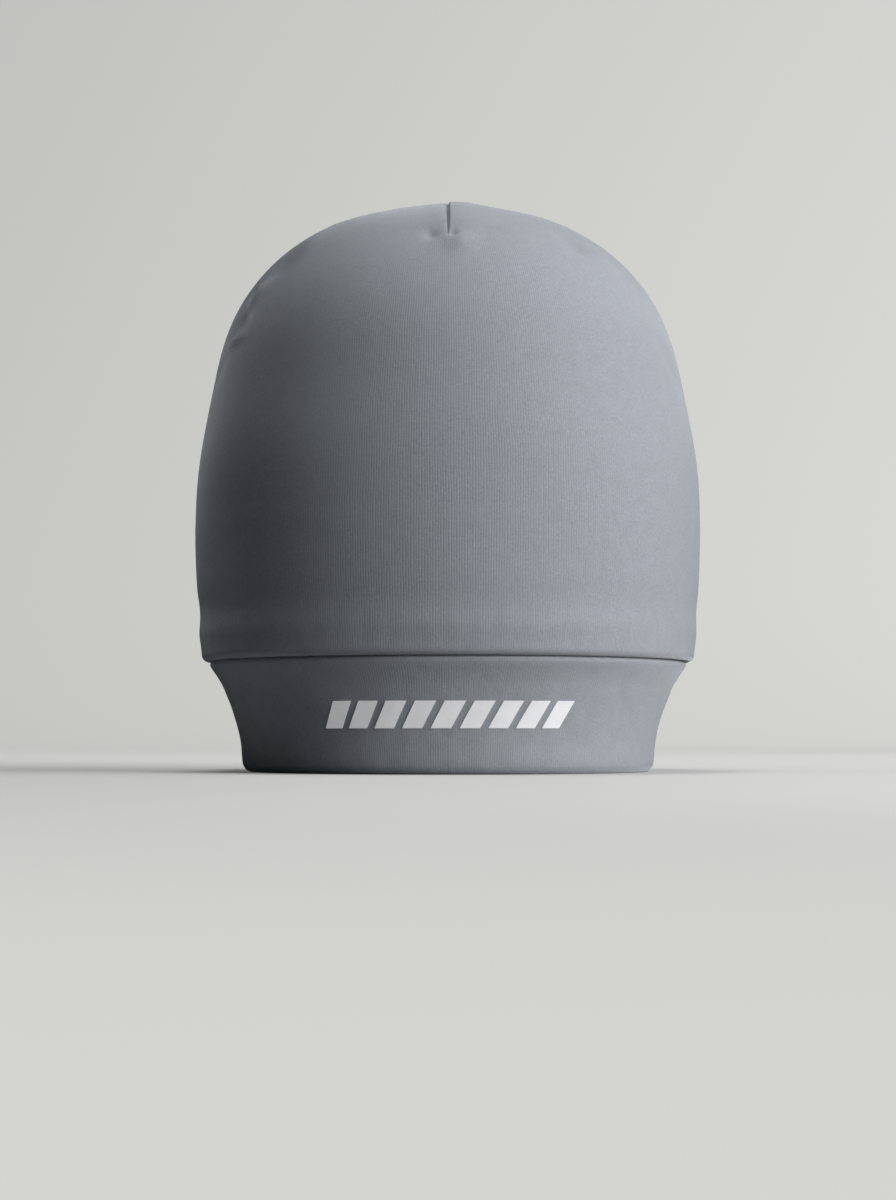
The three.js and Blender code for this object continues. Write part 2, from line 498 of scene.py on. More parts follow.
@dataclass(frozen=True)
class Stitches:
    """Plain knit stitches, laid along the cloth."""

    drift: float = 1.2 * MM
    drift_scale: float = 55.0
    loop_lean: float = 1.3
    loop_share: float = 0.65
    bead_share: float = 0.4
    wear: float = 1.3
    wear_scale: float = 420.0
    groove_power: float = 4.0
    yarn_length: float = 2.0
    yarn_scale: float = 0.9
    fuzz_scale: float = 1300.0
    fuzz_roughness: float = 0.7

    def group(self) -> bpy.types.ShaderNodeTree:
        """Make the stitches' shader group.

        Returns:
            The group. Its vector is the place on the flat cloth, in metres: X across the wales
            and Y along them. It puts out the stitches' height, the grooves between wales, a slow
            and a quick variation of the yarn, and its fine fuzz.
        """
        sizes = ("Wale Width", "Stitch Height", "Mottle Size")
        inputs = {"Cloth Place": Kind.VECTOR, **{name: Kind.NUMBER for name in sizes}}
        outputs = {name: Kind.NUMBER for name in ("Height", "Groove", "Mottle", "Yarn", "Fuzz")}
        web = new_group("knit_stitches", "ShaderNodeTree", inputs, outputs)
        inlet = web.add("NodeGroupInput").outputs
        place = inlet["Cloth Place"]
        along = web.parts(place)
        drift = web.product(web.less(web.noise(place, self.drift_scale, 1.0), 0.5), self.drift)
        wales = web.math("DIVIDE", web.total(along["X"], drift), inlet["Wale Width"])
        courses = web.math("DIVIDE", along["Y"], inlet["Stitch Height"])
        inside = web.math("ABSOLUTE", web.less(web.math("FRACT", wales), 0.5))
        legs = web.math("SINE", web.product(inside, math.tau))
        leaning = web.total(courses, web.product(inside, self.loop_lean))
        loops = web.math("SINE", web.product(web.math("FRACT", leaning), math.pi))
        rounded = web.less(1.0, web.product(inside, inside, 4.0))
        looped = web.total(1.0 - self.loop_share, web.product(loops, self.loop_share))
        beads = web.product(legs, looped, self.bead_share)
        relief = web.total(web.product(rounded, 1.0 - self.bead_share), beads)
        wear = web.noise(place, self.wear_scale)
        height = web.product(relief, web.total(1.0 - self.wear / 2, web.product(wear, self.wear)))
        groove = web.math("POWER", web.product(inside, 2.0), self.groove_power)
        mottle = web.noise(place, web.math("DIVIDE", 1.0, inlet["Mottle Size"]), 3.0)
        course = web.math("DIVIDE", web.math("FLOOR", courses), self.yarn_length)
        yarn = web.noise(web.point(web.math("FLOOR", wales), course), self.yarn_scale)
        fuzz = web.noise(place, self.fuzz_scale, 2.0, self.fuzz_roughness)
        found = (height, web.product(groove, wear, 2.0), mottle, yarn, fuzz)
        web.add("NodeGroupOutput", dict(zip(outputs, found)))
        return web.tree


@dataclass(frozen=True)
class KnitFinish:
    """A smooth, softly brushed knit of fine yarn."""

    name: str
    colour: Colour
    wale_width: float = 0.92 * MM
    stitch_height: float = 0.66 * MM
    mottle_size: float = 5 * MM
    relief: float = 0.055 * MM
    groove_painted_shade: float = 0.10
    mottle_shade: float = 0.10
    yarn_shade: float = 0.10
    fuzz_shade: float = 0.28
    roughness: float = 0.80
    mottle_roughness: float = 0.16
    groove_roughness: float = 0.08
    specular: float = 0.25
    sheen: float = 0.40
    sheen_roughness: float = 0.40
    sheen_tint: Colour = (0.90, 0.94, 1.0)

    def material(self, stitches: bpy.types.ShaderNodeTree) -> bpy.types.Material:
        """Make the finish's material.

        Args:
            stitches: the shader group of knit stitches.

        Returns:
            The material.
        """
        material, web = new_material(self.name)
        feeds = {
            "Cloth Place": web.one("ShaderNodeUVMap", uv_map=CLOTH_MAP),
            "Wale Width": self.wale_width,
            "Stitch Height": self.stitch_height,
            "Mottle Size": self.mottle_size,
        }
        knit = web.add("ShaderNodeGroup", feeds, node_tree=stitches).outputs
        mottle, yarn, fuzz = (web.less(knit[name], 0.5) for name in ("Mottle", "Yarn", "Fuzz"))
        # The knit's tone varies at random with fuzz, mottle and yarn, and is darker in the grooves
        # between wales: that darkening is painted shade.
        shade = web.total(
            1.0,
            web.product(fuzz, 2 * self.fuzz_shade),
            web.product(mottle, 2 * self.mottle_shade),
            web.product(yarn, 2 * self.yarn_shade),
            web.product(knit["Groove"], -self.groove_painted_shade),
        )
        rough = web.total(
            self.roughness,
            web.product(mottle, self.mottle_roughness),
            web.product(knit["Groove"], self.groove_roughness),
        )
        relief = {"Height": knit["Height"], "Distance": self.relief, "Strength": 1.0}
        web.surface(
            {
                "Base Color": web.tinted(shade, self.colour),
                "Roughness": rough,
                "Normal": web.one("ShaderNodeBump", relief),
                "Specular IOR Level": self.specular,
                "Sheen Weight": self.sheen,
                "Sheen Roughness": self.sheen_roughness,
                "Sheen Tint": (*self.sheen_tint, 1.0),
            }
        )
        material.diffuse_color = (*self.colour, 1.0)
        return material


@dataclass(frozen=True)
class Wave:
    """A slow, shallow wave of the cloth, in millimetres and radians."""

    rise: float
    count: int
    phase: float
    lean: float
    length: float
    start: float

    def at(self, azimuths: np.ndarray, height: float) -> np.ndarray:
        """Find how far the wave moves a ring's points outwards.

        Args:
            azimuths: the azimuths of the points.
            height: the ring's height.

        Returns:
            The moves, negative where they are inwards.
        """
        z = height / MM
        around = np.sin(self.count * azimuths + self.phase + self.lean * z)
        return self.rise * MM * around * math.sin(z / self.length + self.start)


@dataclass(frozen=True)
class Fold:
    """A level fold round the cap, in millimetres."""

    rise: float
    height: float
    spread: float

    def at(self, height: float) -> float:
        """Return the rise at a height."""
        return self.rise * MM * float(bell(height / MM - self.height, self.spread))


@dataclass(frozen=True)
class Layout:
    """How one side of the crown's cloth is laid in rings."""

    dome_rows: int
    hang_rows: int
    lip_rows: int
    lip_turn: float
    foot_lift: float


@dataclass
class Crown:
    """The domed crown: one piece of knit closed by darts, rolled under at the seam."""

    form: CapForm
    darts: Darts
    cloth: float = 1.6 * MM
    seam_allowance: float = 3.2 * MM
    hang_inset: float = 2.3 * MM
    hang_power: float = 1.6
    lip_radius: float = 2.3 * MM
    back_seam_depth: float = 0.5 * MM
    back_seam_half_width: float = 0.7 * MM
    columns: int = 96
    layouts: tuple[Layout, Layout] = (
        Layout(96, 30, 9, 112.0, 0.15 * MM),
        Layout(40, 12, 4, 90.0, 0.2 * MM),
    )
    tip_radii: tuple[float, ...] = (0.8 * MM, 1.7 * MM, 2.7 * MM)
    crowding: float = 2.0
    least_crowding: float = 0.02
    crowding_fade: float = 22 * MM
    lip_calm: float = 6 * MM
    wale_width: float = 0.92 * MM
    dents: tuple[Dent, ...] = (
        Dent(-53, 171.5, 5.5, 4.2, -0.5, 10),
        Dent(-58, 164.2, 8, 4.8, 1.3, 6),
        Dent(-63.5, 155.4, 4.6, 3.8, -1.3, 4),
        Dent(-68, 147.4, 8.5, 4.5, 2.3, 3),
        Dent(-66, 140.4, 8, 1.6, -0.9, 4),
        Dent(-76, 132, 9, 4, 0.7, 12),
        Dent(43, 169.5, 4.6, 4.0, 1.3, 0),
        Dent(52.5, 166, 5, 4.4, -1.2, 0),
        Dent(70, 132, 10, 5, 0.5, -40),
        Dent(150, 60, 24, 9, 1.0, 12),
        Dent(-146, 63, 22, 9, 0.9, -14),
        Dent(104, 92, 26, 10, 0.5, 24),
        Dent(-112, 98, 28, 10, 0.5, -20),
    )
    waves: tuple[Wave, ...] = (
        Wave(0.26, 3, 1.3, 0.0, 23, 0.7),
        Wave(0.17, 5, 2.1, 1 / 60, 14, 2.2),
        Wave(0.10, 9, 0.4, -1 / 40, 17, 1.1),
    )
    hollow: Fold = Fold(-0.46, 53.5, 5.0)
    ridge: Fold = Fold(0.36, 45.6, 3.4)
    gathers: Fold = Fold(0.04, 44, 6.0)
    gather_count: int = 61

    def build(self) -> bpy.types.Object:
        """Build the crown as one closed skin, its face outside and its back inside.

        Returns:
            The crown's object.
        """
        loops, places, sides = [], [], []
        for side in Side:
            rings = self._rings(side)
            rows = list(zip(rings, self._lengths(rings)))
            for ring, length in rows if side is Side.FACE else reversed(rows):
                azimuths = self._azimuths(ring)
                loops.append(self._moved(ring, azimuths, side))
                places.append(self._places(ring, azimuths, length))
                sides.append(side)
        tip = Vector((0, -self.form.apex_forward, self.form.dome_height - self.darts.depth))
        under_height = self.form.dome_height - self.cloth - self.darts.allowance_depth
        under = Vector((0, -self.form.apex_forward, under_height))
        return self._skin(loops, places, sides, tip, under)

    def _rings(self, side: Side) -> list[Ring]:
        """Lay one side of the cloth in rings.

        Args:
            side: the side.

        Returns:
            The rings, from the apex down to the seam.
        """
        form, layout = self.form, self.layouts[side]
        inset = self.cloth if side is Side.BACK else 0.0
        rings = self._dome(layout.dome_rows, inset) + self._hang(layout.hang_rows, inset)
        middle = form.seam_height + self.lip_radius
        turned_in = self.hang_inset + self.lip_radius
        radius = self.lip_radius - inset
        for row in range(1, layout.lip_rows + 1):
            turn = math.radians(layout.lip_turn * row / layout.lip_rows)
            height = middle - radius * math.sin(turn)
            rings.append(form.low_ring(height, turned_in - radius * math.cos(turn)))
        foot = rings[-1].height + layout.foot_lift
        rings.append(form.low_ring(foot, turned_in + self.seam_allowance))
        return rings

    def _dome(self, rows: int, inset: float) -> list[Ring]:
        """Lay the rings from the apex down to the widest one.

        Args:
            rows: how many there are, besides those at the tip.
            inset: how far inside the cap's bare surface they lie.

        Returns:
            The rings.
        """
        form = self.form
        rises = []
        for radius in self.tip_radii:
            share = (radius / form.half_width) ** form.front_power
            rises.append((1 - share) ** (1 / form.front_power))
        for row in range(1, rows + 1):
            rises.append(math.sin(QUARTER * (1 - row / rows)) ** (2 / form.front_power))
        kept = sorted(set(rises), reverse=True)
        return [form.dome_ring(rise, inset) for rise in kept]

    def _hang(self, rows: int, inset: float) -> list[Ring]:
        """Lay the rings from under the widest one down to the lip.

        Args:
            rows: how many there are.
            inset: how far inside the cap's bare surface they lie.

        Returns:
            The rings.
        """
        form = self.form
        bottom = form.seam_height + self.lip_radius
        rings = []
        for row in range(1, rows + 1):
            share = row / rows
            height = form.widest_height + share * (bottom - form.widest_height)
            rings.append(form.low_ring(height, inset + self.hang_inset * share**self.hang_power))
        return rings

    def _azimuths(self, ring: Ring) -> np.ndarray:
        """Space a ring's points, crowding up to the darts and the back seam.

        Args:
            ring: the ring.

        Returns:
            The azimuths of its points.
        """
        reach = math.sqrt(ring.half_width * ring.half_depth)
        ease = float(smooth((reach - self.darts.reach_lengthwise) / self.crowding_fade))
        eased = max(self.least_crowding, self.crowding * (1 - ease))
        found = []
        share = np.arange(self.columns) / self.columns * 2 - 1
        for quarter in range(4):
            first = self.crowding if quarter == 2 else eased
            last = self.crowding if quarter == 1 else eased
            start = np.tanh(first * np.minimum(share, 0)) / math.tanh(first)
            end = np.tanh(last * np.maximum(share, 0)) / math.tanh(last)
            found.append(quarter * QUARTER + QUARTER / 2 * (1 + start + end))
        return np.concatenate(found)

    def _moved(self, ring: Ring, azimuths: np.ndarray, side: Side) -> np.ndarray:
        """Move a ring's points by the darts, the dents, the seams and the unevenness.

        Args:
            ring: the ring.
            azimuths: the azimuths of its points.
            side: the side of the cloth that it belongs to.

        Returns:
            The moved points.
        """
        form = self.form
        points = form.points(ring, azimuths)
        over_lip = ring.height - form.seam_height - self.lip_radius
        above = float(smooth(over_lip / self.lip_calm))
        dented = sum(dent.rise(azimuths, ring) for dent in self.dents)
        shared = (dented + sum(wave.at(azimuths, ring.height) for wave in self.waves)) * above
        if side is Side.BACK:
            own = self.darts.inside_rise(points, ring)
        else:
            behind = (points[:, 1] > 0) * bell(points[:, 0], self.back_seam_half_width)
            own = self.darts.outside_rise(points, ring) - self.back_seam_depth * above * behind
        own = own + self._over_allowance(azimuths, ring.height)
        return points + form.outward(ring, points) * (shared + own)[:, None]

    def _over_allowance(self, azimuths: np.ndarray, height: float) -> np.ndarray:
        """Find the low ridge and hollow where the cloth lies over the sewn edges inside.

        Args:
            azimuths: the azimuths of a ring's points.
            height: the ring's height.

        Returns:
            How far they move the points outwards.
        """
        strength = 0.8 + 0.2 * np.sin(3 * azimuths + 0.4) + 0.13 * np.sin(8 * azimuths + 2.0)
        gathered = np.sin(self.gather_count * azimuths + 0.5 * np.sin(5 * azimuths))
        over = self.hollow.at(height) + self.ridge.at(height)
        return strength * over + gathered * self.gathers.at(height)

    def _lengths(self, rings: Sequence[Ring]) -> list[float]:
        """Measure the rings' distances along the cloth.

        Args:
            rings: the rings, from the apex down.

        Returns:
            The distance of each, up from the last.
        """
        diagonal = np.array([QUARTER / 2])
        points = [self.form.points(ring, diagonal)[0] for ring in rings]
        lengths = [0.0]
        for upper, lower in zip(reversed(points[:-1]), reversed(points[1:])):
            lengths.append(lengths[-1] + float(np.linalg.norm(upper - lower)))
        return lengths[::-1]

    def _places(self, ring: Ring, azimuths: np.ndarray, length: float) -> np.ndarray:
        """Place a ring's points on the flat cloth.

        Args:
            ring: the ring.
            azimuths: the azimuths of its points.
            length: its distance along the cloth.

        Returns:
            The places for each quarter, with one more at the quarter's end.
        """
        form = self.form
        mean_radius = math.sqrt(form.half_width * form.half_depth)
        quarter_width = round(QUARTER * mean_radius / self.wale_width) * self.wale_width
        reach = math.sqrt(ring.half_width * ring.half_depth)
        full = min(1.0, reach / math.sqrt(self.darts.reach_lengthwise * self.darts.reach_across))
        ends = np.append(azimuths, 4 * QUARTER)
        rows = []
        for quarter in range(4):
            part = ends[quarter * self.columns : (quarter + 1) * self.columns + 1]
            across = (part - (quarter + 0.5) * QUARTER) / QUARTER * quarter_width * full
            rows.append(across + ((quarter + 2) % 4 + 0.5) * quarter_width)
        u = np.stack(rows)
        return np.stack([u, np.full_like(u, length)], axis=2)

    def _skin(
        self,
        loops: list[np.ndarray],
        places: list[np.ndarray],
        sides: list[Side],
        tip: Vector,
        under: Vector,
    ) -> bpy.types.Object:
        """Join the rings into a closed mesh with its map of the flat cloth.

        Args:
            loops: the points of each ring, from the apex down outside and back up inside.
            places: the places of each ring on the flat cloth.
            sides: the side of the cloth that each ring belongs to.
            tip: the apex outside.
            under: the apex inside.

        Returns:
            The crown's object.
        """
        count = 4 * self.columns
        points = [tuple(p) for loop in loops for p in loop] + [tuple(tip), tuple(under)]
        faces: list[tuple[int, ...]] = []
        corners: list[tuple[float, float]] = []
        slots: list[int] = []
        for row in range(len(loops) - 1):
            for column in range(count):
                quarter, inner = divmod(column, self.columns)
                beside = (column + 1) % count
                a, b = row * count + column, row * count + beside
                faces.append((a, a + count, b + count, b))
                upper, lower = places[row][quarter], places[row + 1][quarter]
                corners += [tuple(upper[inner]), tuple(lower[inner])]
                corners += [tuple(lower[inner + 1]), tuple(upper[inner + 1])]
                slots.append(sides[row])
        poles = len(points) - 2
        for pole, row, side in ((poles, 0, Side.FACE), (poles + 1, len(loops) - 1, Side.BACK)):
            for column in range(count):
                quarter, inner = divmod(column, self.columns)
                beside = (column + 1) % count
                near, far = places[row][quarter][inner], places[row][quarter][inner + 1]
                middle = ((near[0] + far[0]) / 2, near[1] + self.tip_radii[0])
                a, b = row * count + column, row * count + beside
                if side is Side.BACK:
                    a, b, near, far = b, a, far, near
                faces.append((pole, a, b))
                corners += [middle, tuple(near), tuple(far)]
                slots.append(side)
        mesh = bpy.data.meshes.new("crown_cloth")
        mesh.from_pydata(points, [], faces)
        layer = mesh.uv_layers.new(name=CLOTH_MAP)
        layer.data.foreach_set("uv", [value for corner in corners for value in corner])
        mesh.polygons.foreach_set("material_index", slots)
        mesh.polygons.foreach_set("use_smooth", [True] * len(faces))
        mesh.update()
        return placed("crown_cloth", mesh)


@dataclass
class Band:
    """The folded double band, as a section of two plies led round the cap's oval."""

    form: CapForm
    columns: int = 288
    outside: tuple[tuple[float, float], ...] = (
        (36.9, 6.4), (36.6, 5.75), (36.15, 5.25), (35.5, 5.05), (34.6, 5.45), (33.2, 6.4),
        (31.5, 7.55), (29.8, 8.6), (28.0, 9.55), (24.6, 10.9), (21.2, 12.25), (17.8, 13.4),
        (14.4, 14.4), (11.1, 15.1), (8.0, 15.55), (5.2, 15.75), (3.7, 15.9), (2.5, 16.1),
        (1.5, 16.55), (0.7, 17.2), (0.2, 17.95), (0.0, 18.7),
    )
    inside: tuple[tuple[float, float], ...] = (
        (0.0, 19.9), (0.35, 20.5), (1.0, 20.85), (2.2, 20.75), (4.0, 20.3), (7.0, 19.4),
        (10.5, 18.5), (14.0, 17.6), (17.8, 16.4), (22.0, 14.8), (27.0, 12.8), (32.0, 10.7),
        (36.4, 8.75), (36.9, 8.2), (36.9, 7.9),
    )
    slit_heights: tuple[float, ...] = (36.0, 31.0, 26.0, 21.0, 16.0, 11.0, 7.0)
    slit_bottom: float = 3.2 * MM
    slit_lean: float = 0.25 * MM
    slit: float = 0.22 * MM
    section_step: float = 1.3 * MM
    waviness: float = 0.55 * MM
    puckering: float = 0.32 * MM
    wave_seed: float = 4.0
    back_seam_depth: float = 0.45 * MM
    calm_below: float = 7 * MM
    calm_above: tuple[float, float] = (27 * MM, 36 * MM)
    least_freedom: float = 0.4
    wave_count: float = 2.2
    wave_rise: float = 30.0
    pucker_scale: float = 4.2
    seam_half_width: float = 0.009

    def _section(self) -> list[tuple[float, float]]:
        """Draw the closed section.

        Returns:
            Insets and heights: down the outside, round the hem, up the inside, then down and up
            the slit between the two plies.
        """
        down = [(inset * MM, height * MM) for height, inset in self.outside]
        up = [(inset * MM, height * MM) for height, inset in self.inside]
        outer_z, outer_inset = zip(*reversed(self.outside))
        inner_z, inner_inset = zip(*self.inside[:-2])
        middles = []
        for z in self.slit_heights:
            near = float(np.interp(z, outer_z, outer_inset))
            far = float(np.interp(z, inner_z, inner_inset))
            middles.append(((near + far) / 2 * MM, z * MM))
        half = self.slit / 2
        bottom_inset = middles[-1][0] + self.slit_lean
        slit_down = [(inset + half, height) for inset, height in middles]
        slit_up = [(inset - half, height) for inset, height in reversed(middles)]
        return down + up + slit_down + [(bottom_inset, self.slit_bottom)] + slit_up

    def _finer(self, section: Sequence[tuple[float, float]], step: float) -> list[Vector]:
        """Round a closed section through its points.

        Args:
            section: insets and heights.
            step: the longest distance between two of the new points.

        Returns:
            The points, as vectors with the inset in X and the height in Z.
        """
        points = [Vector((inset, 0.0, height)) for inset, height in section]
        count = len(points)
        result = []
        for k in range(count):
            before, start = points[k - 1], points[k]
            end, after = points[(k + 1) % count], points[(k + 2) % count]
            length = (end - start).length
            parts = max(1, round(length / step))
            for part in range(parts):
                t = part / parts
                out, back = (end - before) * 0.5, (after - start) * 0.5
                scale_out = min(1.0, length / max(out.length, TINY))
                scale_back = min(1.0, length / max(back.length, TINY))
                result.append(
                    start * (2 * t**3 - 3 * t**2 + 1)
                    + out * scale_out * (t**3 - 2 * t**2 + t)
                    + end * (3 * t**2 - 2 * t**3)
                    + back * scale_back * (t**3 - t**2)
                )
        return [Vector((p.x, 0.0, max(p.z, 0.0))) for p in result]

    def build(self, finish: bpy.types.Material) -> bpy.types.Object:
        """Lead the section round the oval with geometry nodes.

        Args:
            finish: the cloth's material.

        Returns:
            The band's piece.
        """
        rounded = self._finer(self._section(), self.section_step)
        lengths = [0.0]
        for before, after in zip(rounded, rounded[1:] + rounded[:1]):
            lengths.append(lengths[-1] + (after - before).length)
        outline = bpy.data.meshes.new("band_section")
        edges = [(k, k + 1) for k in range(len(rounded))]
        outline.from_pydata([tuple(p) for p in rounded + rounded[:1]], edges, [])
        along = outline.attributes.new("along", "FLOAT", "POINT")
        along.data.foreach_set("value", lengths)
        guide = placed("band_section", outline)
        values = {
            "Section": guide,
            "Half Width": self.form.half_width,
            "Half Depth": self.form.half_depth,
            "Corner Fullness": self.form.corner_fullness,
            "Front Narrowing": self.form.front_narrowing,
            "Columns": self.columns,
            "Rows": len(rounded),
            "Waviness": self.waviness,
            "Puckering": self.puckering,
            "Wave Seed": self.wave_seed,
            "Back Seam Depth": self.back_seam_depth,
            "Finish": finish,
        }
        band = grown("band_cloth", self._tree(values), values)
        bpy.data.objects.remove(guide)
        return band

    def _tree(self, values: Mapping[str, Any]) -> bpy.types.GeometryNodeTree:
        """Make the geometry nodes that lead a section round the cap's oval.

        Args:
            values: the value of each named input.

        Returns:
            The group of nodes.
        """
        web = growing("oval_band", values)
        inlet = web.add("NodeGroupInput").outputs
        counts = {
            "Vertices X": web.total(inlet["Columns"], 1),
            "Vertices Y": web.total(inlet["Rows"], 1),
        }
        grid = web.add("GeometryNodeMeshGrid", {"Size X": 1.0, "Size Y": 1.0, **counts}).outputs
        place = web.one("GeometryNodeInputPosition")
        on_grid = web.parts(place)
        azimuth = web.product(web.total(on_grid["X"], 0.5), math.tau)
        row = web.math("ROUND", web.product(web.total(on_grid["Y"], 0.5), inlet["Rows"]))
        guide = web.add("GeometryNodeObjectInfo", {"Object": inlet["Section"]}).outputs["Geometry"]
        named = web.one("GeometryNodeInputNamedAttribute", {"Name": "along"}, data_type="FLOAT")
        taken = [
            web.one(
                "GeometryNodeSampleIndex",
                {"Geometry": guide, "Value": value, "Index": row},
                data_type=kind,
            )
            for value, kind in ((place, "FLOAT_VECTOR"), (named, "FLOAT"))
        ]
        point = web.parts(taken[0])
        sine, cosine = web.math("SINE", azimuth), web.math("COSINE", azimuth)
        waves = self._waves(web, (sine, cosine, point["Z"]), inlet)
        seam = web.product(self._back_seam(web, sine, cosine), inlet["Back Seam Depth"])
        moved_in = web.product(web.less(seam, waves), self._freedom(web, point["Z"]))
        inward = web.total(point["X"], moved_in)
        corner = web.less(1.0, web.math("COSINE", web.product(azimuth, 4.0)))
        fullness = web.total(1.0, web.product(corner, inlet["Corner Fullness"], 0.5))
        narrowing = web.less(1.0, web.product(cosine, inlet["Front Narrowing"]))
        wide, deep = web.less(inlet["Half Width"], inward), web.less(inlet["Half Depth"], inward)
        moved = web.point(
            web.product(wide, sine, fullness, narrowing),
            web.product(deep, cosine, fullness, -1.0),
            point["Z"],
        )
        mean = web.math("SQRT", web.product(inlet["Half Width"], inlet["Half Depth"]))
        round_cap = web.product(web.parts(grid["UV Map"])["X"], mean, math.tau)
        mapped = web.one(
            "GeometryNodeStoreNamedAttribute",
            {"Geometry": grid["Mesh"], "Name": CLOTH_MAP, "Value": web.point(round_cap, taken[1])},
            data_type="FLOAT2",
            domain="CORNER",
        )
        shaped = web.one("GeometryNodeSetPosition", {"Geometry": mapped, "Position": moved})
        closed = web.one("GeometryNodeMergeByDistance", {"Geometry": shaped, "Distance": WELD})
        turned = web.one("GeometryNodeFlipFaces", {"Mesh": closed})
        web.dressed(web.one("GeometryNodeSetShadeSmooth", {"Geometry": turned}), inlet["Finish"])
        return web.tree

    def _freedom(self, web: Web, height: Socket) -> Socket:
        """Let the cloth wave less near the floor, and not at all at the seam.

        Args:
            web: the tree.
            height: the height.

        Returns:
            How freely it waves there.
        """
        low = web.ranged(height, 0.0, self.calm_below, self.least_freedom)
        high = web.ranged(height, self.calm_above[1], self.calm_above[0])
        return web.product(low, high)

    def _waves(self, web: Web, place: tuple[Socket, Socket, Socket], inlet: Any) -> Socket:
        """Find the band's soft unevenness round the cap.

        Args:
            web: the tree.
            place: the sine and cosine of the azimuth, and the height.
            inlet: the tree's inputs.

        Returns:
            How far the cloth stands out.
        """
        sine, cosine, height = place
        risen = web.total(web.product(height, self.wave_rise), inlet["Wave Seed"])
        spot = web.point(
            web.product(sine, self.wave_count), web.product(cosine, self.wave_count), risen
        )
        broad = web.less(web.noise(spot, 1.0, 1.0), 0.5)
        fine = web.less(web.noise(spot, self.pucker_scale, 1.0), 0.5)
        broad = web.product(broad, inlet["Waviness"], 2.0)
        return web.total(broad, web.product(fine, inlet["Puckering"], 2.0))

    def _back_seam(self, web: Web, sine: Socket, cosine: Socket) -> Socket:
        """Mask the narrow closing seam down the middle of the back.

        Args:
            web: the tree.
            sine: the sine of the azimuth.
            cosine: its cosine.

        Returns:
            The mask.
        """
        narrow = web.math("DIVIDE", sine, self.seam_half_width)
        fade = web.math("EXPONENT", web.product(narrow, narrow, -1.0))
        return web.product(fade, web.math("LESS_THAN", cosine, 0.0))


@dataclass(frozen=True)
class FilmFinish:
    """A thin silver transfer film, with a painted glow that stands in for the light it throws back
    towards the front.
    """

    name: str = "silver_film"
    colour: Colour = (0.56, 0.565, 0.58)
    grain: float = 1600.0
    grain_shade: float = 0.10
    patches: float = 160.0
    patch_shade: float = 0.08
    patch_roughness: float = 0.12
    relief: float = 0.03 * MM
    roughness: float = 0.42
    metallic: float = 0.1
    painted_glow: float = 0.38

    def material(self) -> bpy.types.Material:
        """Make the finish's material.

        Returns:
            The material.
        """
        material, web = new_material(self.name)
        place = web.add("ShaderNodeTexCoord").outputs["Object"]
        beads, patches = web.noise(place, self.grain), web.noise(place, self.patches)
        shade = web.total(
            1.0 - self.grain_shade / 2,
            web.product(beads, self.grain_shade),
            web.product(web.less(patches, 0.5), self.patch_shade),
        )
        colour = web.tinted(shade, self.colour)
        smoothest = self.roughness - self.patch_roughness / 2
        web.surface(
            {
                "Base Color": colour,
                "Roughness": web.total(smoothest, web.product(patches, self.patch_roughness)),
                "Metallic": self.metallic,
                "Normal": web.one("ShaderNodeBump", {"Height": beads, "Distance": self.relief}),
                # Painted light: the film glows in its own colour, standing in for light thrown back
                # towards the front.
                "Emission Color": colour,
                "Emission Strength": self.painted_glow,
            }
        )
        material.diffuse_color = (*self.colour, 1.0)
        return material


